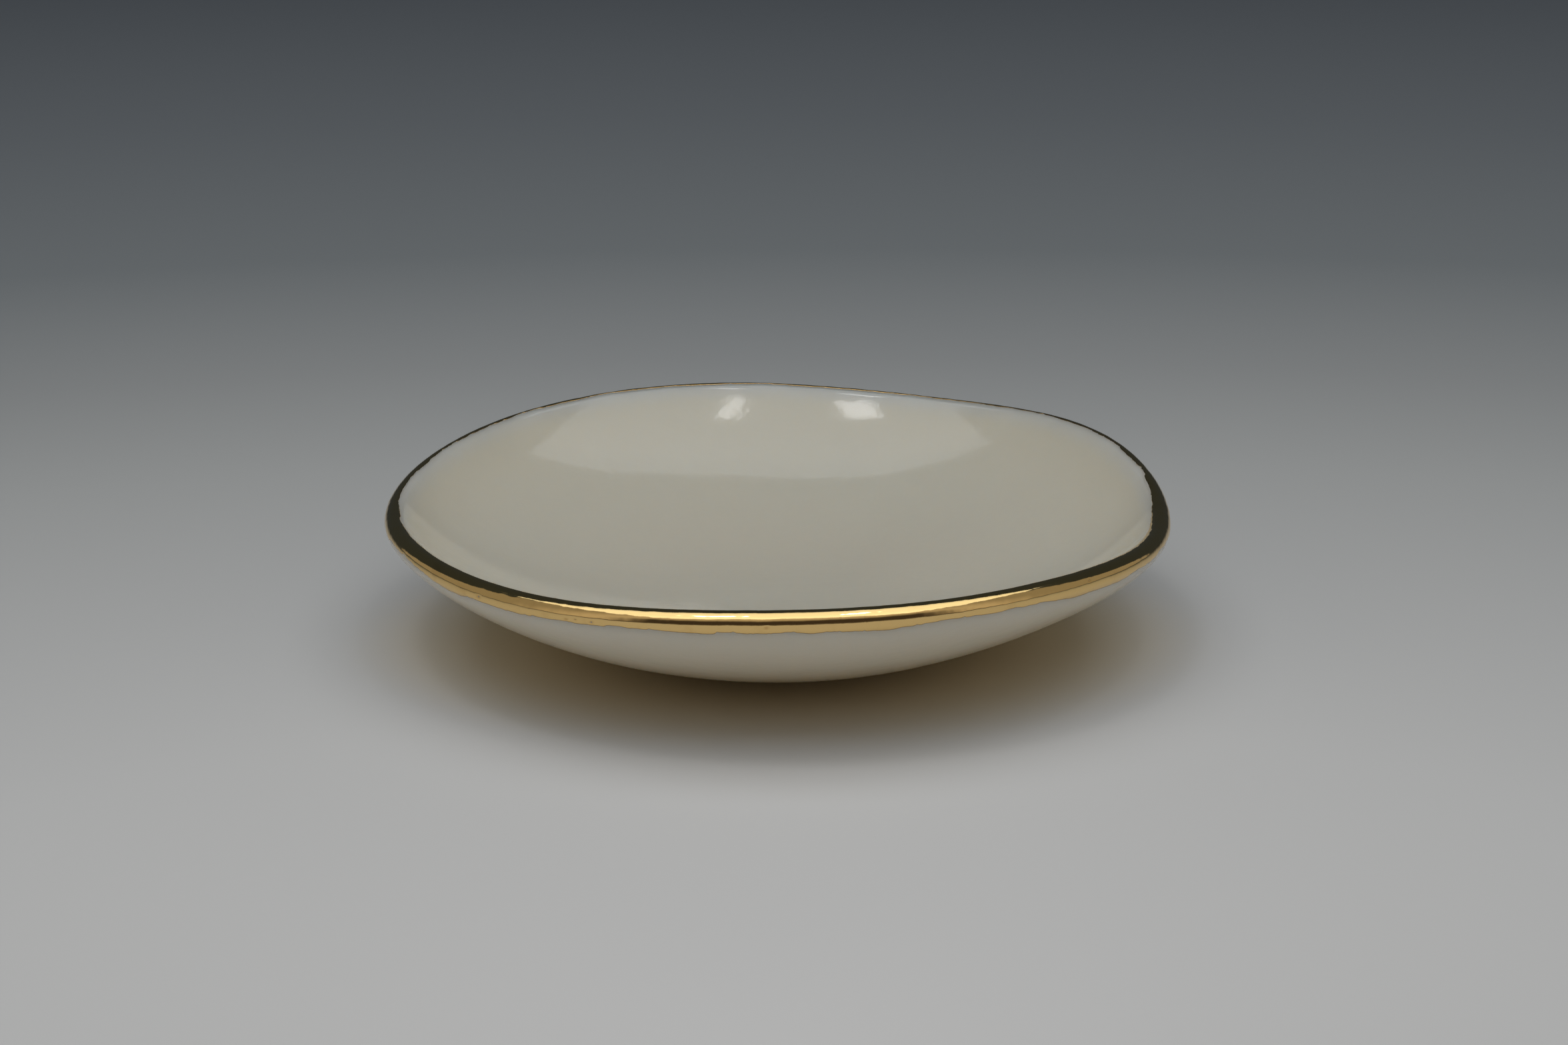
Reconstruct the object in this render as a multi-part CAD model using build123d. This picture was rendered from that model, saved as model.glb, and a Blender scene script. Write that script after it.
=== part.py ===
from build123d import *
import os
from math import atan2, cos, degrees, hypot, radians, sin, tan

# A small shallow porcelain ring dish, formed by hand, so its rim rises and dips and isn't quite round.
# The shell and its low turned foot are one piece of fired clay, glazed all over but for the foot.
# A brushed band of bright gold lustre wraps the lip, with an edge that wanders on both sides.
# Lengths are in millimetres and angles in degrees. Turns count from +X towards +Y, and the front is at -Y.
# The origin is the middle of the foot, on the surface that the dish stands on.

# Lip: the furthest reach of the rim, its mean height, and the thickness of the rounded edge
rim_radius = 39.0
rim_height = 15.15
lip_thickness = 2.24

# How far the rim rises and swings about its mean: lobes round the rim, share of the size, turn of a peak
rim_rise = 0.65
rim_rise_shares = [(2, 1.0, 97.5), (3, 0.5, 31), (4, 0.55, 30.5), (5, 0.23, 32), (6, 0.18, 25.5)]
rim_swing = 0.15
rim_swing_shares = [(2, 0.95, 129), (3, 1.0, 65), (4, 0.35, 53)]

# Outside of the wall, from the edge of the foot to the lip
foot_edge_radius = 13.5
foot_height = 0.8
wall_slope_at_foot = 7
wall_slope_at_lip = 67
wall_pull_at_foot_share = 0.37
wall_pull_at_lip_share = 0.134

# Inside of the wall, from the middle of the floor to the lip
floor_thickness = 2.9
floor_middle_radius = 2.0
inside_slope_at_lip = 50
inside_pull_at_floor_share = 0.42
inside_pull_at_lip_share = 0.3

# Foot: the trimmed ring that the dish stands on, stepped in where the glaze ends, and the recess inside it
foot_ring_step = 0.25
foot_ring_width = 2.0
foot_ring_draft = 10
foot_ring_easing = 0.3
foot_recess_depth = 0.7
foot_recess_easing = 0.4

# Gold, whose edges wander: how far it reaches from the crest of the lip, down the outside and inwards
gold_thickness = 0.06
gold_outside_width = 2.25
gold_outside_wander = 0.3
gold_outside_wander_shares = [(2, 1.0, 90), (1, 0.5, 270), (7, 0.3, 30), (11, 0.25, 3)]
gold_inside_width = 0.42
gold_inside_wander = 0.22
gold_inside_wander_shares = [(3, 1.0, 330), (1, 0.9, 270), (1, 0.4, 0), (11, 0.3, 9)]

# Where the sections of the skin lie along each stretch of the profile, and the points that make each one
wall_bend_share = 0.86
wall_shares = [0.08, 0.2, 0.34, 0.5, 0.66, 0.8, 0.91, 1]
bend_shares = [0.3, 0.6, 0.82, 1]
gold_shares = [0.15, 0.28, 0.4, 0.52, 0.64, 0.76, 0.88, 1]
lip_end_shares = [0.5, 1]
inside_shares = [0.06, 0.16, 0.3, 0.46, 0.62, 0.78, 0.9, 1]
lip_end_reach_share = 0.06
points_round = 48

# The lip turns through this angle, from the outside of the wall to the inside, with its crest on the way
lip_turn = 180 - wall_slope_at_lip + inside_slope_at_lip
lip_length = radians(lip_turn) * lip_thickness / 2
lip_crest_length = radians(180 - wall_slope_at_lip) * lip_thickness / 2


def wave(turn, size, lobe_shares):
    """Height of a smooth wave round the rim at one turn."""
    return size * sum(share * cos(radians(lobes * (turn - peak))) for lobes, share, peak in lobe_shares)


def offset(point, facing, distance):
    """Point at a distance from another, in radius and height, towards an angle above level and outward."""
    return point[0] + distance * cos(radians(facing)), point[1] + distance * sin(radians(facing))


def lip_point(turn, share, inset):
    """Point of the rounded lip, from where it leaves the outside of the wall to where it meets the inside."""
    middle_radius = rim_radius + wave(turn, rim_swing, rim_swing_shares) - lip_thickness / 2
    middle_height = rim_height + wave(turn, rim_rise, rim_rise_shares) - lip_thickness / 2
    facing = wall_slope_at_lip - 90 + share * lip_turn
    return offset((middle_radius, middle_height), facing, lip_thickness / 2 - inset)


def curve_point(start, start_slope, start_pull_share, end, end_slope, end_pull_share, share, inset, normal):
    """Point of a smooth curve that leaves start and reaches end at two slopes, set in from its own side."""
    length = hypot(end[0] - start[0], end[1] - start[1])
    after_start = offset(start, start_slope, start_pull_share * length)
    before_end = offset(end, end_slope, -end_pull_share * length)
    rest = 1 - share
    weights = (rest**3, 3 * rest**2 * share, 3 * rest * share**2, share**3)
    pace = (-(rest**2), rest**2 - 2 * rest * share, 2 * rest * share - share**2, share**2)
    poles = (start, after_start, before_end, end)
    point = [sum(weight * pole[axis] for weight, pole in zip(weights, poles)) for axis in (0, 1)]
    along = [sum(weight * pole[axis] for weight, pole in zip(pace, poles)) for axis in (0, 1)]
    return offset(point, degrees(atan2(along[1], along[0])) + normal, -inset)


def wall_point(turn, share, inset):
    """Point of the outside of the wall, from the edge of the foot up to the lip."""
    start = (foot_edge_radius, foot_height)
    end = lip_point(turn, 0, 0)
    start_shape = (wall_slope_at_foot, wall_pull_at_foot_share)
    end_shape = (wall_slope_at_lip, wall_pull_at_lip_share)
    return curve_point(start, *start_shape, end, *end_shape, share, inset, -90)


def inside_point(turn, share, inset):
    """Point of the inside of the wall, from the middle of the floor up to the lip."""
    start = (floor_middle_radius, foot_height + floor_thickness)
    end = lip_point(turn, 1, 0)
    start_shape = (0, inside_pull_at_floor_share)
    end_shape = (inside_slope_at_lip, inside_pull_at_lip_share)
    return curve_point(start, *start_shape, end, *end_shape, share, inset, 90)


def skin_point(turn, place, inset):
    """Point of the whole profile: place 0 is the foot's edge, 1 to 2 is the lip, and 3 the floor's middle."""
    if place < 1:
        return wall_point(turn, place, inset)
    if place <= 2:
        return lip_point(turn, place - 1, inset)
    return inside_point(turn, 3 - place, inset)


def gold_edges(turn):
    """Places of the gold's two edges at one turn: low on the lip or just under it, and past its crest."""
    lip_start = lip_point(turn, 0, 0)
    wall_length = hypot(lip_start[0] - foot_edge_radius, lip_start[1] - foot_height)
    wall_pace = 3 * wall_pull_at_lip_share * wall_length
    width = gold_outside_width + wave(turn, gold_outside_wander, gold_outside_wander_shares)
    under_lip = width - lip_crest_length
    outside = 1 - under_lip / (wall_pace if under_lip > 0 else lip_length)
    width = gold_inside_width + wave(turn, gold_inside_wander, gold_inside_wander_shares)
    inside = 1 + (lip_crest_length + width) / lip_length
    return outside, inside


def section_places(turn):
    """Places of all the sections along the profile at one turn."""
    outside, inside = gold_edges(turn)
    lip_end = 2 + lip_end_reach_share
    places = [0]
    for low, high, shares in (
        (0, wall_bend_share, wall_shares),
        (wall_bend_share, outside, bend_shares),
        (outside, inside, gold_shares),
        (inside, lip_end, lip_end_shares),
        (lip_end, 3, inside_shares),
    ):
        places += [low + (high - low) * share for share in shares]
    return places


def sections(inset):
    """Closed curves round the dish, from the foot's edge over the lip to the floor's middle."""
    turns = [360 * step / points_round for step in range(points_round)]
    profiles = [[skin_point(turn, place, inset) for place in section_places(turn)] for turn in turns]
    rings = []
    for level in zip(*profiles):
        points = [(r * cos(radians(turn)), r * sin(radians(turn)), z) for turn, (r, z) in zip(turns, level)]
        rings.append(Wire([Edge.make_spline(points, periodic=True)]))
    return rings


def strips(rings):
    """Narrow faces between neighbouring curves, for the tight bend of the lip and the gold's thin edges."""
    return [Face.make_surface_from_curves(ring.edge(), after.edge()) for ring, after in zip(rings, rings[1:])]


def foot():
    """Turned foot rooted in the middle of the floor: a ring with eased edges round a shallow recess."""
    lean_share = tan(radians(foot_ring_draft))
    root_height = foot_height + floor_thickness / 2
    top_radius = foot_edge_radius - foot_ring_step
    land_radius = top_radius - lean_share * foot_height
    land_inner_radius = land_radius - foot_ring_width
    recess_radius = land_inner_radius - lean_share * foot_recess_depth
    outline = Polygon(
        (0, root_height),
        (top_radius, root_height),
        (top_radius, foot_height),
        (land_radius, 0),
        (land_inner_radius, 0),
        (recess_radius, foot_recess_depth),
        (0, foot_recess_depth),
        align=None,
    )
    land_corners = outline.vertices().sort_by(Axis.Y)[:2]
    outline = chamfer(land_corners, foot_ring_easing)
    recess_corner = outline.vertices().sort_by_distance((recess_radius, foot_recess_depth))[0]
    outline = chamfer(recess_corner, foot_recess_easing)
    return revolve(Plane.XZ * outline, Axis.Z)


def porcelain_body():
    """The fired clay in one piece: the wavy shell, closed below, and its foot."""
    rings = sections(0)
    inside_start = len(rings) - 1 - len(inside_shares)
    faces = Solid.make_loft(rings[: len(wall_shares) + 1]).faces()
    faces += strips(rings[len(wall_shares) : inside_start + 1])
    faces += Solid.make_loft(rings[inside_start:]).faces()
    underside = Face(rings[0])
    floor_middle = Face(rings[-1])
    return Solid(Shell(faces + [underside, floor_middle])) + foot()


def gold_rim():
    """The gold: a thin band over the lip, from its wandering outside edge to its wandering inside edge."""
    first = len(wall_shares) + len(bend_shares)
    last = first + len(gold_shares)
    under = sections(0)[first : last + 1]
    over = sections(-gold_thickness)[first : last + 1]
    edges = strips([under[0], over[0]]) + strips([under[-1], over[-1]])
    return Solid(Shell(strips(under) + strips(over) + edges))


os.makedirs("parts", exist_ok=True)
export_step(porcelain_body(), "parts/porcelain_body.step")
export_step(gold_rim(), "parts/gold_rim.step")
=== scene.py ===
import random
from math import atan2, cos, degrees, exp, hypot, pi, radians, sin, tan

import bpy
from mathutils import Matrix, Vector, noise


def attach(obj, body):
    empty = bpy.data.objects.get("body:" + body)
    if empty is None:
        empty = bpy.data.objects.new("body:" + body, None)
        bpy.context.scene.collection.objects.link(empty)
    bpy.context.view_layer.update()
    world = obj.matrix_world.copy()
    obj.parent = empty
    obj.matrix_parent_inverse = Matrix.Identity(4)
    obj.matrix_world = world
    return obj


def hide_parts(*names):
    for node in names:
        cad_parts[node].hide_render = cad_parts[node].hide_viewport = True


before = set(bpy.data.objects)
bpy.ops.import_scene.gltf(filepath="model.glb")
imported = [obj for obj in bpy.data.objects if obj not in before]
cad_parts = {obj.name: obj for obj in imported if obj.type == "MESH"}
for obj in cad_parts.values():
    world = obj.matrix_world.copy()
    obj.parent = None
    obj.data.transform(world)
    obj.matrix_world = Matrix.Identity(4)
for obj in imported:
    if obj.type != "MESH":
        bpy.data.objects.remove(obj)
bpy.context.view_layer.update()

# A small porcelain ring dish with a gold lip, dressed over its solids.
# Shapes are worked out in millimetres and degrees, and each mesh is then scaled to metres.
# A turn counts from +X towards +Y. A place runs along the profile: 0 is the glaze's edge at the foot,
# 1 to 2 is the rounded lip, and 3 is the edge of the flat middle of the floor.

mm = 0.001

# The dish's own form, as its solids have it, with the front's dip and the hand's unevenness added
form = dict(
    rimRadius=39.0,
    rimHeight=15.15,
    lipRadius=1.12,
    rise=0.65,              # how far the rim rises and dips: lobes round, share, turn of a peak
    riseLobes=[(2, 1.0, 97.5), (3, 0.5, 31), (4, 0.55, 30.5), (5, 0.23, 32), (6, 0.18, 25.5)],
    frontDip=0.25,          # the front sits this much lower than in the solids
    dipFade=(0.3, 0.95),    # towards the front, where the dip starts and where it is whole
    swing=0.15,             # how far the rim swings in and out
    swingLobes=[(2, 0.95, 129), (3, 1.0, 65), (4, 0.35, 53)],
    footEdge=(13.5, 0.8),   # radius and height where the glaze ends
    footSlope=7,
    wallSlope=67,           # at the lip
    wallPulls=(0.37, 0.134),    # how long the curve keeps its slope at each end, in shares of its span
    floorMiddle=(2.0, 3.7),     # radius and height of the floor's flat middle
    insideSlope=50,         # at the lip
    insidePulls=(0.42, 0.3),
    uneven=[(0.024, 7.5), (0.0035, 2.3)],   # slow waves and small ones that a hand leaves: height, length
    settled=0.08,           # the waves die out towards the foot
)

lipTurn = 180 - form["wallSlope"] + form["insideSlope"]
lipLength = radians(lipTurn) * form["lipRadius"]
crestLength = radians(180 - form["wallSlope"]) * form["lipRadius"]


def wave(turn, size, lobes):
    return size * sum(share * cos(radians(count * (turn - peak))) for count, share, peak in lobes)


def shifted(point, facing, distance):
    return point[0] + distance * cos(radians(facing)), point[1] + distance * sin(radians(facing))


def smooth(low, high, value):
    share = min(1, max(0, (value - low) / (high - low)))
    return share * share * (3 - 2 * share)


# A curve that leaves start and reaches end at two slopes: its point and the slope there
def bend(start, startSlope, end, endSlope, pulls, share):
    length = hypot(end[0] - start[0], end[1] - start[1])
    afterStart = shifted(start, startSlope, pulls[0] * length)
    beforeEnd = shifted(end, endSlope, -pulls[1] * length)
    poles = (start, afterStart, beforeEnd, end)
    rest = 1 - share
    weights = (rest**3, 3 * rest**2 * share, 3 * rest * share**2, share**3)
    pace = (-(rest**2), rest**2 - 2 * rest * share, 2 * rest * share - share**2, share**2)
    point = [sum(weight * pole[axis] for weight, pole in zip(weights, poles)) for axis in (0, 1)]
    along = [sum(weight * pole[axis] for weight, pole in zip(pace, poles)) for axis in (0, 1)]
    return point, degrees(atan2(along[1], along[0]))


def lipPoint(turn, share):
    middleRadius = form["rimRadius"] + wave(turn, form["swing"], form["swingLobes"]) - form["lipRadius"]
    middleHeight = form["rimHeight"] + wave(turn, form["rise"], form["riseLobes"]) - form["lipRadius"]
    towardsFront = -sin(radians(turn))
    middleHeight -= form["frontDip"] * smooth(*form["dipFade"], towardsFront)
    facing = form["wallSlope"] - 90 + share * lipTurn
    return shifted((middleRadius, middleHeight), facing, form["lipRadius"]), facing


# Radius, height and the way the surface faces, anywhere on the glazed profile
def profile(turn, place):
    if place < 1:
        end = lipPoint(turn, 0)[0]
        point, slope = bend(
            form["footEdge"], form["footSlope"], end, form["wallSlope"], form["wallPulls"], place
        )
        return point, slope - 90
    if place <= 2:
        return lipPoint(turn, place - 1)
    end = lipPoint(turn, 1)[0]
    point, slope = bend(form["floorMiddle"], 0, end, form["insideSlope"], form["insidePulls"], 3 - place)
    return point, slope + 90


def spot(turn, radius, height):
    return Vector((radius * cos(radians(turn)), radius * sin(radians(turn)), height))


# Smooth noise in layers, each with its own height and length
def waviness(where, layers):
    return sum(height * noise.noise(where / length) for height, length in layers)


# The profile again, with the hand's unevenness
def surface(turn, place):
    point, facing = profile(turn, place)
    uneven = waviness(spot(turn, *point), form["uneven"]) * smooth(0, form["settled"], place)
    return shifted(point, facing, uneven), facing


# Lengths of profile per unit of place, next to the lip's two ends
def paces(turn):
    start, end = lipPoint(turn, 0)[0], lipPoint(turn, 1)[0]
    footEdge, floorMiddle = form["footEdge"], form["floorMiddle"]
    wallPace = 3 * form["wallPulls"][1] * hypot(start[0] - footEdge[0], start[1] - footEdge[1])
    insidePace = 3 * form["insidePulls"][1] * hypot(end[0] - floorMiddle[0], end[1] - floorMiddle[1])
    return wallPace, insidePace


# Place at a length from the crest of the lip, negative down the outside
def placeAlong(turn, length):
    past = length + crestLength
    if past < 0:
        return 1 + past / paces(turn)[0]
    if past <= lipLength:
        return 1 + past / lipLength
    return 2 + (past - lipLength) / paces(turn)[1]


# One skin from rings of points, with a material slot for each ring
def skinMesh(name, rings, materials, slots, marks, looped=False):
    points = []
    starts = []
    for ring in rings:
        starts.append(len(points))
        points += [tuple(point * mm) for point in ring]
    if looped:      # the skin closes on its first ring
        rings = rings + rings[:1]
        starts.append(0)
    faces = []
    faceSlots = []
    for number in range(len(rings) - 1):
        here, there = starts[number], starts[number + 1]
        count, after = len(rings[number]), len(rings[number + 1])
        around = max(count, after)
        for step in range(around):
            nextStep = (step + 1) % around
            if count == 1:      # a ring of one point closes an end
                faces.append((here, there + nextStep, there + step))
            elif after == 1:
                faces.append((here + step, here + nextStep, there))
            else:
                faces.append((here + step, here + nextStep, there + nextStep, there + step))
        faceSlots += [slots[number]] * around
    mesh = bpy.data.meshes.new(name)
    mesh.from_pydata(points, [], faces)
    mesh.polygons.foreach_set("material_index", faceSlots)
    mesh.polygons.foreach_set("use_smooth", [True] * len(faces))
    for markName, values in marks.items():
        attribute = mesh.attributes.new(markName, "FLOAT", "POINT")
        attribute.data.foreach_set("value", values)
    for material in materials:
        mesh.materials.append(material)
    mesh.validate()
    piece = bpy.data.objects.new(name, mesh)
    bpy.context.scene.collection.objects.link(piece)
    print(name + ":", len(faces), "faces")
    return piece


# Shader maths: a wrapped socket whose operators add their Math nodes
class Value:
    def __init__(self, recipe, socket):
        self.recipe = recipe
        self.socket = socket

    # Another output of the same node
    def __getitem__(self, name):
        return Value(self.recipe, self.socket.node.outputs[name])

    def maths(self, operation, first, second):
        return self.recipe.node("ShaderNodeMath", dict(operation=operation), {0: first, 1: second})

    def __add__(self, other):
        return self.maths("ADD", self, other)

    def __sub__(self, other):
        return self.maths("SUBTRACT", self, other)

    def __rsub__(self, other):
        return self.maths("SUBTRACT", other, self)

    def __mul__(self, other):
        return self.maths("MULTIPLY", self, other)

    def __truediv__(self, other):
        return self.maths("DIVIDE", self, other)

    def __pow__(self, other):
        return self.maths("POWER", self, other)

    __radd__ = __add__
    __rmul__ = __mul__

    def atLeast(self, other):
        return self.maths("MAXIMUM", self, other)

    def atMost(self, other):
        return self.maths("MINIMUM", self, other)

    # 0 below low and 1 above high, with a smooth step between them
    def between(self, low, high):
        settings = dict(interpolation_type="SMOOTHSTEP")
        sockets = {"Value": self, "From Min": low, "From Max": high}
        return self.recipe.node("ShaderNodeMapRange", settings, sockets)


# One node tree, whose nodes all come from one method
class Recipe:
    def __init__(self, tree):
        self.tree = tree
        tree.nodes.clear()

    def node(self, kind, settings=None, sockets=None):
        made = self.tree.nodes.new(kind)
        for name, value in (settings or {}).items():
            if name == "stops":
                self.fillRamp(made.color_ramp, value)
            else:
                setattr(made, name, value)
        for name, value in (sockets or {}).items():
            if isinstance(value, Value):
                self.tree.links.new(value.socket, made.inputs[name])
            else:
                made.inputs[name].default_value = value
        return Value(self, made.outputs[0]) if len(made.outputs) else made

    def fillRamp(self, ramp, stops):
        while len(ramp.elements) < len(stops):
            ramp.elements.new(1)
        for element, (position, colour) in zip(ramp.elements, stops):
            element.position = position
            element.color = opaque(colour)

    # The colour form of Mix keeps its factor, colours and result at these places
    def mixed(self, factor, first, second):
        sockets = {0: factor, 6: opaque(first), 7: opaque(second)}
        return self.node("ShaderNodeMix", dict(data_type="RGBA"), sockets)[2]

    def speckle(self, where, size, detail, roughness=0.5):
        sockets = {"Vector": where, "Scale": 1 / (size * mm), "Detail": detail, "Roughness": roughness}
        return self.node("ShaderNodeTexNoise", None, sockets)

    def raised(self, height, distance):
        return self.node("ShaderNodeBump", None, {"Height": height, "Distance": distance * mm})


def opaque(colour):
    return colour if isinstance(colour, Value) else (*colour, 1)


def newMaterial(name):
    material = bpy.data.materials.new(name)
    material.use_nodes = True
    return material, Recipe(material.node_tree)


def finishMaterial(recipe, sockets):
    shader = recipe.node("ShaderNodeBsdfPrincipled", None, sockets)
    recipe.node("ShaderNodeOutputMaterial", None, {"Surface": shader})


# Ivory glaze, a little uneven in tone and skin, over clay thin enough to let light through
glaze = dict(
    ivory=(0.635, 0.600, 0.510),
    pooled=(0.625, 0.585, 0.492),    # deeper where the glaze gathers in the well
    thin=(0.635, 0.612, 0.545),      # paler and cooler just inside the lip: partly the glaze thinning over its shoulder, partly a painted reflection
    outside=(0.650, 0.612, 0.535),   # painted lighter on the outside of the wall, standing in for the light that reaches it
    footed=(0.570, 0.410, 0.270),    # painted warm shade, browner towards the foot outside
    well=(3.0, 11.0),                # heights between which the pool fades out
    footFade=(0.8, 5.5),             # and the painted warm shade of the foot
    poolEven=0.5,                    # how even the pool is, beside its clouds
    thinEven=0.7,                    # the same for the pale strip inside the lip, and how much its specks add
    thinSpecks=0.6,
    cloudSize=11,
    fineSize=1.4,
    mottle=0.05,                     # how far the clouds and specks shade it, and the clouds' share
    cloudShare=0.6,
    roughness=0.075,
    roughnessSpread=0.05,
    peelSize=1.9,                    # soft unevenness of the glaze's skin, with a finer one in it
    peelHeight=0.017,
    finePeelSize=0.6,
    finePeelShare=0.32,
    ior=1.52,
    seeThrough=1.0,                  # share of the light that goes under the skin
    spread=0.008,                    # how far it spreads there, in metres, least in blue
    spreadByColour=(1.0, 0.86, 0.72),
)


def glazeMaterial():
    material, recipe = newMaterial("ivoryGlaze")
    where = recipe.node("ShaderNodeTexCoord")["Object"]
    height = recipe.node("ShaderNodeSeparateXYZ", None, {"Vector": where})["Z"]
    nearRim = recipe.node("ShaderNodeAttribute", dict(attribute_name="nearRim"))["Fac"]
    outside = recipe.node("ShaderNodeAttribute", dict(attribute_name="outside"))["Fac"]
    pool = 1 - height.between(glaze["well"][0] * mm, glaze["well"][1] * mm)
    nearFoot = outside * (1 - height.between(glaze["footFade"][0] * mm, glaze["footFade"][1] * mm))
    cloud = recipe.speckle(where, glaze["cloudSize"], detail=3)
    fine = recipe.speckle(where, glaze["fineSize"], detail=3)
    tone = recipe.mixed(pool * (glaze["poolEven"] + cloud), glaze["ivory"], glaze["pooled"])
    # painted light: the outside of the wall is painted paler
    tone = recipe.mixed(outside, tone, glaze["outside"])
    # painted warm shade towards the foot on the outside
    tone = recipe.mixed(nearFoot, tone, glaze["footed"])
    # a pale strip just inside the lip: partly thinner glaze, partly painted reflection
    tone = recipe.mixed(nearRim * (glaze["thinEven"] + glaze["thinSpecks"] * fine), tone, glaze["thin"])
    clouded = glaze["cloudShare"] * cloud + (1 - glaze["cloudShare"]) * fine
    shade = 1 - glaze["mottle"] / 2 + glaze["mottle"] * clouded
    colour = recipe.node("ShaderNodeVectorMath", dict(operation="SCALE"), {0: tone, "Scale": shade})
    finePeel = recipe.speckle(where, glaze["finePeelSize"], detail=1)
    peel = recipe.speckle(where, glaze["peelSize"], detail=2) + glaze["finePeelShare"] * finePeel
    finishMaterial(recipe, {
        "Base Color": colour,
        "Roughness": glaze["roughness"] + glaze["roughnessSpread"] * fine,
        "IOR": glaze["ior"],
        "Subsurface Weight": glaze["seeThrough"],
        "Subsurface Radius": glaze["spreadByColour"],
        "Subsurface Scale": glaze["spread"],
        "Normal": recipe.raised(peel, glaze["peelHeight"]),
    })
    return material


# Bare clay on the foot, with a dry fine grain and a few stains
clay = dict(
    bare=(0.56, 0.53, 0.47),
    stained=(0.43, 0.395, 0.33),
    stainSize=4,
    stainFade=(0.35, 0.75),
    roughness=0.62,
    roughnessSpread=0.16,
    grainSize=0.25,
    grainHeight=0.018,
    grainCrispness=0.7,
)


def clayMaterial():
    material, recipe = newMaterial("bareClay")
    where = recipe.node("ShaderNodeTexCoord")["Object"]
    stain = recipe.speckle(where, clay["stainSize"], detail=4).between(*clay["stainFade"])
    grain = recipe.speckle(where, clay["grainSize"], detail=2, roughness=clay["grainCrispness"])
    finishMaterial(recipe, {
        "Base Color": recipe.mixed(stain, clay["bare"], clay["stained"]),
        "Roughness": clay["roughness"] + clay["roughnessSpread"] * grain,
        "Normal": recipe.raised(grain, clay["grainHeight"]),
    })
    return material


# The body: its glazed skin and the bare turned foot under it
body = dict(
    turnsRound=450,         # points round, and rows of points across
    wallSteps=42,
    lipSteps=32,
    insideSteps=40,
    wallCrowding=0.7,       # rows crowd towards the lip from both sides
    insideCrowding=1.2,
    floorShares=(0.75, 0.5, 0.25, 0),   # rings of the floor's flat middle, as shares of its radius
    outsideEnd=1.5,         # place where the outside's painted paler tone ends, on top of the lip
    stripLength=0.9,        # how far down the inside the pale strip reaches, partly thin glaze and partly painted reflection, and how that fades
    stripFade=(0.2, 1.6),
    ringStep=0.25,          # the foot stands in from the glaze's edge by this much
    ringWidth=2.0,
    draft=10,
    easing=0.3,
    recessDepth=0.7,
    recessEasing=0.4,
    topEasing=0.1,
    cornerSteps=6,
    samePoint=0.001,        # where two corners of the foot meet, their shared point counts once
    beadHeight=0.07,        # the glaze ends in a low rounded bead
    beadLength=1.1,
    turningDepth=0.012,     # fine lines that the turning tool leaves in the recess
    turningPitch=0.55,
    turningSteps=4,
)


def makeBody():
    turns = [360 * step / body["turnsRound"] for step in range(body["turnsRound"])]
    wallSteps, lipSteps, insideSteps = body["wallSteps"], body["lipSteps"], body["insideSteps"]
    places = [(step / wallSteps) ** body["wallCrowding"] for step in range(wallSteps)]
    places += [1 + step / lipSteps for step in range(lipSteps + 1)]
    places += [2 + (step / insideSteps) ** body["insideCrowding"] for step in range(1, insideSteps + 1)]
    insidePace = paces(0)[1]
    rings = []
    nearRim = []
    outside = []
    for place in places:
        rings.append([glazedSpot(turn, place) for turn in turns])
        pastLip = max(0, place - 2) * insidePace
        nearRim += [1 - smooth(*body["stripFade"], pastLip / body["stripLength"])] * len(turns)
        outside += [1 if place < body["outsideEnd"] else 0] * len(turns)
    floorRadius, floorHeight = form["floorMiddle"]
    for share in body["floorShares"]:
        ring = [floorSpot(turn, floorRadius * share, floorHeight) for turn in (turns if share else [0])]
        rings.append(ring)
        nearRim += [0] * len(ring)
        outside += [0] * len(ring)

    footRings = [[Vector((0, 0, body["recessDepth"]))]]
    footRings += [[spot(turn, radius, height) for turn in turns] for radius, height in footOutline()]
    glazed, bare = 0, 1
    slots = [bare] * len(footRings) + [glazed] * (len(rings) - 1)
    footMarks = [0] * sum(len(ring) for ring in footRings)
    marks = {"nearRim": footMarks + nearRim, "outside": footMarks + outside}
    materials = [glazeMaterial(), clayMaterial()]
    piece = skinMesh("porcelain_dish", footRings + rings, materials, slots, marks)
    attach(piece, "root")
    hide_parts("porcelain_body")


# A point of the glaze, with the bead that swells the first stretch of the wall
def glazedSpot(turn, place):
    point, facing = surface(turn, place)
    length = max(0, point[0] - form["footEdge"][0]) if place < 1 else form["rimRadius"]
    half = body["beadLength"] / 2
    swell = body["beadHeight"] * exp(-((length - half) / half) ** 2) * smooth(0, half / 2, length)
    return spot(turn, *shifted(point, facing, swell))


def floorSpot(turn, radius, height):
    where = spot(turn, radius, height)
    return where + Vector((0, 0, waviness(where, form["uneven"])))


# Radius and height of the foot's section, from the middle of the recess to the glaze's edge
def footOutline():
    lean = tan(radians(body["draft"]))
    edgeRadius, edgeHeight = form["footEdge"]
    top = edgeRadius - body["ringStep"]
    land = top - lean * edgeHeight
    landInner = land - body["ringWidth"]
    depth = body["recessDepth"]
    recess = landInner - lean * depth
    easing, cove, ease = body["easing"], body["recessEasing"], body["topEasing"]
    outline = []
    stride = body["turningPitch"] / body["turningSteps"]
    for step in range(1, int((recess - cove) / stride)):
        line = body["turningDepth"] * (0.5 + 0.5 * cos(2 * pi * step / body["turningSteps"]))
        outline.append((step * stride, depth - line))
    outline += corner((recess - cove, depth), (recess, depth), (recess + lean * cove, depth - cove))
    outline += corner((landInner - lean * easing, easing), (landInner, 0), (landInner + easing, 0))
    outline += corner((land - easing, 0), (land, 0), (land + lean * easing, easing))
    outline += corner((top - lean * ease, edgeHeight - ease), (top, edgeHeight), (top + ease, edgeHeight))
    kept = outline[:1]
    for radius, height in outline[1:]:
        if hypot(radius - kept[-1][0], height - kept[-1][1]) > body["samePoint"]:
            kept.append((radius, height))
    return kept


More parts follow.
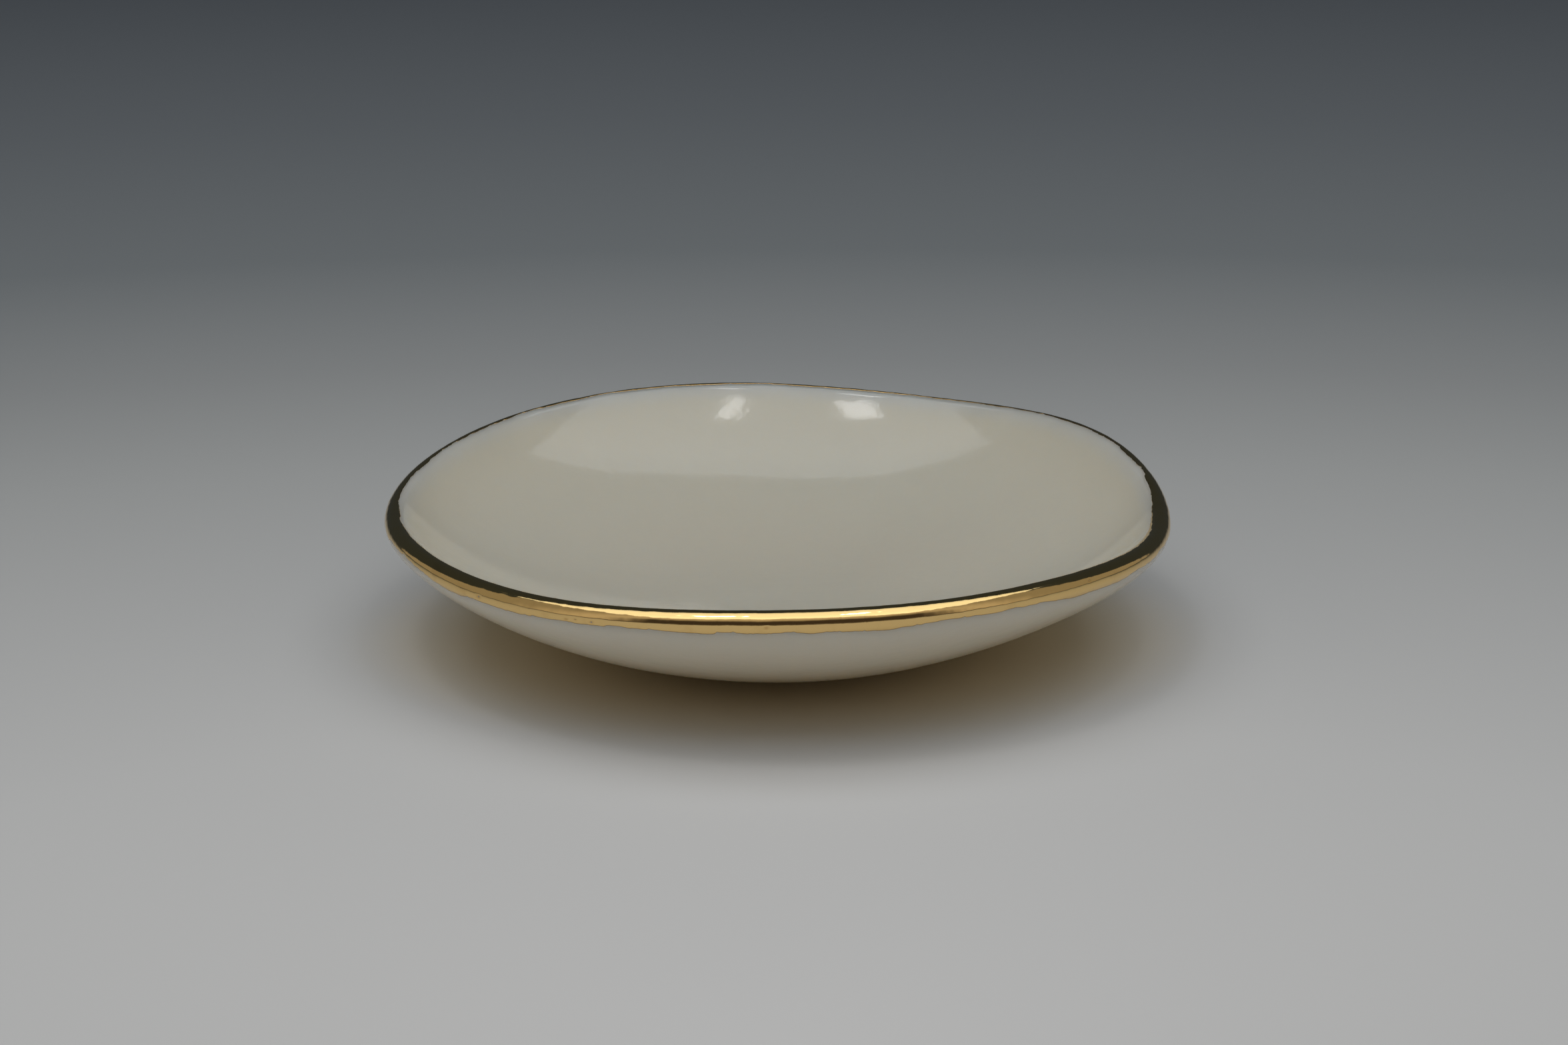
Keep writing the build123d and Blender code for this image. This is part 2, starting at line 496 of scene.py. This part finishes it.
# Points of a rounded corner
def corner(start, middle, end):
    points = []
    for step in range(body["cornerSteps"] + 1):
        share = step / body["cornerSteps"]
        weights = ((1 - share) ** 2, 2 * (1 - share) * share, share**2)
        radius = sum(weight * point[0] for weight, point in zip(weights, (start, middle, end)))
        height = sum(weight * point[1] for weight, point in zip(weights, (start, middle, end)))
        points.append((radius, height))
    return points


# Gold lustre, brushed on over the glaze; lengths across it count from the crest of the lip
gold = dict(
    thickness=0.035,
    edgeThickness=0.011,
    edgeTaper=0.1,
    sunk=0.02,              # its underside lies this deep in the glaze, so that no gap shows
    outside=[               # how far the band reaches, by turn: down the outside, and then inwards
        (0, 1.95), (20, 2.2), (45, 2.0), (70, 2.3), (95, 2.05), (120, 2.3), (145, 2.1), (170, 2.3),
        (188, 1.8), (200, 1.65), (208, 1.95), (217, 2.4), (226, 2.25), (236, 2.35), (246, 2.3), (262, 2.5),
        (276, 2.55), (286, 2.62), (296, 2.3), (306, 2.28), (317, 2.76), (325, 2.6), (332, 2.0), (342, 1.75),
    ],
    inside=[
        (0, 0.6), (5, 0.25), (12, 0.1), (28, 0.12), (50, 0.15), (90, 0.16), (130, 0.15), (150, 0.12),
        (170, 0.12), (179, 0.25), (185, 0.4), (192, 0.55), (201, 0.65), (211, 0.45), (226, 0.48),
        (250, 0.5), (290, 0.5), (318, 0.75), (330, 0.95), (338, 1.0), (346, 1.0), (353, 0.95),
    ],
    # Brush strokes, broad and small, and the nicks between them: count, half width in degrees, depth
    strokes=[(50, (1.4, 4.6), (0.06, 0.24)), (170, (0.25, 1.1), (0.02, 0.07))],
    nicks=(50, (0.1, 0.45), (0.04, 0.14)),
    strokeShift=0.45,       # how far a stroke lies from its even place
    strokeTail=2.0,         # a stroke starts bluntly and trails off
    bluntness=6,
    rags=[(0.035, 0.9), (0.02, 0.33)],      # raggedness of the edge: depth, length
    ragSpan=100,            # each edge takes its raggedness from another height
    ripples=[(0.022, 1.5), (0.005, 0.5)],   # the film and the lip under it aren't quite even
    rippleMargin=0.25,
    pits=[                  # small flaws in the film: turn, length, size
        (223.5, -1.75, 0.28), (239.5, -2.0, 0.2), (241, -1.9, 0.16), (243.5, -2.0, 0.2),
        (268.3, -1.9, 0.22), (318, -1.3, 0.18),
    ],
    pitLong=1.8,            # how much longer a pit is along the band
    pitDepth=0.045,
    pitFalloff=3,
    pitReach=2,
    turnsRound=1800,
    stepsAcross=26,
    crowding=0.06,          # rows of points crowd towards both edges
    seed=7,
)

# The gold's finish
lustre = dict(
    bright=(0.90, 0.62, 0.255),
    thin=(0.66, 0.41, 0.150),        # browner where the film is thin
    roughness=0.06,
    roughnessSpread=0.05,
    edgeRoughness=0.1,
    cloudSize=2.2,                   # clouds of thinner film, where they start and how thin they get
    cloudFade=(0.55, 0.8),
    cloudWear=0.35,
    brushSize=0.16,                  # lines that the brush leaves along the band
    brushStretch=0.12,
    brushCrispness=0.6,
    brushHeight=0.0012,
)


def lustreMaterial():
    material, recipe = newMaterial("goldLustre")
    where = recipe.node("ShaderNodeTexCoord")["Object"]
    split = recipe.node("ShaderNodeSeparateXYZ", None, {"Vector": where})
    across = recipe.node("ShaderNodeAttribute", dict(attribute_name="across"))["Fac"]
    thinFilm = recipe.node("ShaderNodeAttribute", dict(attribute_name="thinFilm"))["Fac"]
    stretch = lustre["brushStretch"]
    sockets = {"X": split["X"] * stretch, "Y": split["Y"] * stretch, "Z": across * mm}
    stretched = recipe.node("ShaderNodeCombineXYZ", None, sockets)
    brushed = recipe.speckle(stretched, lustre["brushSize"], detail=3, roughness=lustre["brushCrispness"])
    cloud = recipe.speckle(where, lustre["cloudSize"], detail=4).between(*lustre["cloudFade"])
    worn = (lustre["cloudWear"] * cloud + thinFilm).atMost(1)
    roughness = lustre["roughness"] + lustre["roughnessSpread"] * brushed
    roughness = roughness + lustre["edgeRoughness"] * thinFilm
    finishMaterial(recipe, {
        "Base Color": recipe.mixed(worn, lustre["bright"], lustre["thin"]),
        "Metallic": 1.0,
        "Roughness": roughness,
        "Normal": recipe.raised(brushed, lustre["brushHeight"]),
    })
    return material


# A length at one turn, eased between those that are given round the rim
def along(stops, turn):
    stops = stops + [(360, stops[0][1])]
    for (low, start), (high, end) in zip(stops, stops[1:]):
        if turn <= high:
            return start + (end - start) * smooth(low, high, turn)


# Brush strokes overlap along an edge: each leaves a bulge with a blunt end, and a few skips leave nicks
class BrushedEdge:
    def __init__(self, dice):
        shift = gold["strokeShift"]
        self.strokes = []
        for layer, (count, half, depth) in enumerate(gold["strokes"]):
            for number in range(count):
                middle = 360 * (number + dice.uniform(-shift, shift)) / count
                self.strokes.append((layer, middle, dice.uniform(*half), dice.uniform(*depth)))
        count, half, depth = gold["nicks"]
        self.nicks = []
        for number in range(count):
            self.nicks.append((dice.uniform(0, 360), dice.uniform(*half), dice.uniform(*depth)))
        self.ragHeight = dice.uniform(0, gold["ragSpan"])
        self.mean = sum(depth[1] for count, half, depth in gold["strokes"]) / 2

    # How far the edge stands out from its mean at one turn
    def reach(self, turn):
        bulges = [0] * len(gold["strokes"])
        for layer, middle, half, depth in self.strokes:
            offset = (turn - middle + 180) % 360 - 180
            away = offset / half if offset > 0 else -offset / (half * gold["strokeTail"])
            if away < 1:
                shape = (1 - away ** gold["bluntness"]) ** 0.5 if offset > 0 else 1 - away * away
                bulges[layer] = max(bulges[layer], depth * shape)
        nick = 0
        for middle, half, depth in self.nicks:
            away = abs((turn - middle + 180) % 360 - 180) / half
            nick = max(nick, depth * (1 - away))
        ragged = waviness(spot(turn, form["rimRadius"], self.ragHeight), gold["rags"])
        return sum(bulges) - nick + ragged - self.mean


# How deep a pit is at one spot of the band, from 0 to 1
def goldPit(turn, length):
    depth = 0
    for pitTurn, pitLength, pitSize in gold["pits"]:
        aside = (turn - pitTurn) * radians(1) * form["rimRadius"]
        away = hypot(aside / gold["pitLong"], length - pitLength) / pitSize
        if away < gold["pitReach"]:
            depth = max(depth, exp(-gold["pitFalloff"] * away * away))
    return depth


def makeGold():
    dice = random.Random(gold["seed"])
    outsideEdge, insideEdge = BrushedEdge(dice), BrushedEdge(dice)
    steps, count = gold["stepsAcross"], gold["turnsRound"]
    over = [[] for step in range(steps + 1)]
    under = [[] for step in range(steps + 1)]
    lengths = [[] for step in range(steps + 1)]
    thins = [[] for step in range(steps + 1)]
    for number in range(count):
        turn = 360 * number / count
        low = -along(gold["outside"], turn) - outsideEdge.reach(turn)
        high = along(gold["inside"], turn) + insideEdge.reach(turn)
        for step in range(steps + 1):
            share = step / steps
            length = low + (high - low) * (share - sin(2 * pi * share) * gold["crowding"])
            toEdge = min(length - low, high - length)
            point, facing = surface(turn, placeAlong(turn, length))
            taper = smooth(0, gold["edgeTaper"], toEdge)
            lift = gold["edgeThickness"] + (gold["thickness"] - gold["edgeThickness"]) * taper
            where = spot(turn, *point) + Vector((0, 0, form["rimRadius"]))
            ripple = waviness(where, gold["ripples"])
            pit = goldPit(turn, length)
            lift += ripple * smooth(0, gold["rippleMargin"], toEdge) - pit * gold["pitDepth"]
            over[step].append(spot(turn, *shifted(point, facing, lift)))
            under[step].append(spot(turn, *shifted(point, facing, -gold["sunk"])))
            lengths[step].append(length)
            thins[step].append(max(pit, 1 - smooth(0, gold["edgeTaper"], toEdge)))
    rings = over + under[::-1]
    marks = {"across": sum(lengths + lengths[::-1], []), "thinFilm": sum(thins + thins[::-1], [])}
    piece = skinMesh("gold_lustre_rim", rings, [lustreMaterial()], [0] * len(rings), marks, looped=True)
    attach(piece, "root")
    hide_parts("gold_rim")


# The camera looks down at the dish from the front; the target, distance and clip are in metres
camera = dict(
    tilt=17.85,
    roll=-0.374,
    distance=0.45,
    target=(0.000518, 0, 0.01202),
    lens=103.8,
    sensor=36,
    clip=(0.01, 20),
)


def makeCamera():
    tilt = radians(camera["tilt"])
    data = bpy.data.cameras.new("studioCamera")
    data.lens = camera["lens"]
    data.sensor_width = camera["sensor"]
    data.clip_start, data.clip_end = camera["clip"]
    piece = bpy.data.objects.new("studioCamera", data)
    bpy.context.scene.collection.objects.link(piece)
    back = Vector((0, -cos(tilt), sin(tilt)))
    look = (-back).to_track_quat("-Z", "Y").to_matrix().to_4x4()
    place = Matrix.Translation(Vector(camera["target"]) + back * camera["distance"])
    piece.matrix_world = place @ look @ Matrix.Rotation(radians(camera["roll"]), 4, "Z")
    bpy.context.scene.camera = piece


# Paper with a painted pool of light, in metres: pale under and in front of the dish, darkening to slate far
# behind
paper = dict(
    middle=-0.1,                     # the painted pool of light counts from here, low in the camera's view
    sideShare=0.78,                  # and runs slower to the sides
    reach=0.45,                      # this far off it ends
    frontFade=(0.003, 0.060),        # painted shade: the paper darkens in front of that line
    frontEnd=(0.110, 0.100, 0.090),
    underDish=(0.960, 0.810, 0.550),     # painted warm bounce light in the shadow under the dish that hangs over it
    underFade=(0.016, 0.034),
    underStretch=0.75,               # the painted warm patch is longer from side to side
    roughness=0.9,
    gloss=0.2,
    # tones of the painted pool of light, from its middle outwards
    stops=[
        (0.0, (0.725, 0.715, 0.705)),
        (0.17, (0.640, 0.637, 0.630)),
        (0.27, (0.535, 0.537, 0.533)),
        (0.36, (0.437, 0.445, 0.443)),
        (0.45, (0.320, 0.330, 0.334)),
        (0.57, (0.200, 0.217, 0.228)),
        (0.75, (0.145, 0.160, 0.175)),
        (1.0, (0.088, 0.100, 0.115)),
    ],
    size=6.0,
)


def makeFloor():
    material, recipe = newMaterial("paperPaintedLight")
    where = recipe.node("ShaderNodeTexCoord")["Object"]
    split = recipe.node("ShaderNodeSeparateXYZ", None, {"Vector": where})
    # a painted pool of light, pale round its middle and darker further off
    across = split["X"] * paper["sideShare"]
    away = split["Y"] - paper["middle"]
    behind = away.atLeast(0)
    reach = (across * across + behind * behind) ** 0.5 / paper["reach"]
    tone = recipe.node("ShaderNodeValToRGB", dict(stops=paper["stops"]), {"Fac": reach})
    # painted shade on the paper in front
    tone = recipe.mixed((0 - away).between(*paper["frontFade"]), tone, paper["frontEnd"])
    # painted warm bounce light on the paper under the dish
    aside = split["X"] * paper["underStretch"]
    fromDish = (aside * aside + split["Y"] * split["Y"]) ** 0.5
    tone = recipe.mixed(fromDish.between(*paper["underFade"]), paper["underDish"], tone)
    finishMaterial(recipe, {
        "Base Color": tone,
        "Roughness": paper["roughness"],
        "Specular IOR Level": paper["gloss"],
    })
    half = paper["size"] / 2
    corners = [(-half, -half, 0), (half, -half, 0), (half, half, 0), (-half, half, 0)]
    mesh = bpy.data.meshes.new("paper_floor")
    mesh.from_pydata(corners, [], [(0, 1, 2, 3)])
    mesh.materials.append(material)
    piece = bpy.data.objects.new("paper_floor", mesh)
    bpy.context.scene.collection.objects.link(piece)


# A soft box overhead with two brighter lamps in it, and a room that is pale in front and dark behind
studio = dict(
    height=1.0,                      # in metres, as the box and the lamps are
    boxBack=0.45,
    boxFront=-0.82,
    boxHalfWidth=0.76,
    boxGlow=0.94,
    boxTint=(0.945, 1.0, 1.065),
    # Place, size and glow of each lamp
    lamps=[((0.215, -0.215), (0.045, 0.23), 6.0), ((-0.235, -0.235), (0.16, 0.17), 5.5)],
    lampDrop=0.02,                   # the lamps hang this far under the box
    roomFront=(0.50, 0.465, 0.42),
    roomSide=(0.265, 0.25, 0.22),
    frontFade=(0.1, 0.6),            # fades are shares of the way to the front, the back or straight up
    roomLow=(0.045, 0.037, 0.034),   # a dark gap low in front
    gapHeading=(0.55, 0.8),
    gapTop=(0.36, 0.7),
    slate=(0.028, 0.035, 0.041),
    slateStart=(0.22, 0.28),
    slateSpread=0.45,                # the slate narrows towards the horizon
    slateLow=(0.07, 0.60),
    nearZero=1e-6,                   # straight up, the heading isn't divided by nothing
)


def softLamp(name, middle, size, height, glow, tint=(1, 1, 1)):
    data = bpy.data.lights.new(name, "AREA")
    data.color = tint
    data.shape = "RECTANGLE"
    data.size, data.size_y = size
    data.energy = glow * pi * size[0] * size[1]
    piece = bpy.data.objects.new(name, data)
    piece.location = (*middle, height)
    bpy.context.scene.collection.objects.link(piece)


def makeLight():
    boxMiddle = (0, (studio["boxBack"] + studio["boxFront"]) / 2)
    boxSize = (2 * studio["boxHalfWidth"], studio["boxBack"] - studio["boxFront"])
    softLamp("softBox", boxMiddle, boxSize, studio["height"], studio["boxGlow"], studio["boxTint"])
    for number, (middle, size, glow) in enumerate(studio["lamps"]):
        softLamp("lamp%d" % number, middle, size, studio["height"] - studio["lampDrop"], glow)
    world = bpy.data.worlds.new("dimRoom")
    world.use_nodes = True
    bpy.context.scene.world = world
    recipe = Recipe(world.node_tree)
    way = recipe.node("ShaderNodeTexCoord")["Generated"]
    split = recipe.node("ShaderNodeSeparateXYZ", None, {"Vector": way})
    aside, ahead, up = split["X"], split["Y"], split["Z"]
    heading = (0 - ahead) / (aside * aside + ahead * ahead + studio["nearZero"]) ** 0.5
    tone = recipe.mixed((0 - ahead).between(*studio["frontFade"]), studio["roomSide"], studio["roomFront"])
    gap = heading.between(*studio["gapHeading"]) * (1 - up.between(*studio["gapTop"]))
    tone = recipe.mixed(gap, tone, studio["roomLow"])
    spread = ahead - studio["slateSpread"] * (1 - up.between(*studio["slateLow"]))
    tone = recipe.mixed(spread.between(*studio["slateStart"]), tone, studio["slate"])
    shader = recipe.node("ShaderNodeBackground", None, {"Color": tone, "Strength": 1.0})
    recipe.node("ShaderNodeOutputWorld", None, {"Surface": shader})


bpy.context.scene.view_settings.view_transform = "Standard"
makeCamera()
makeFloor()
makeLight()
print("stage is set")
makeBody()
makeGold()
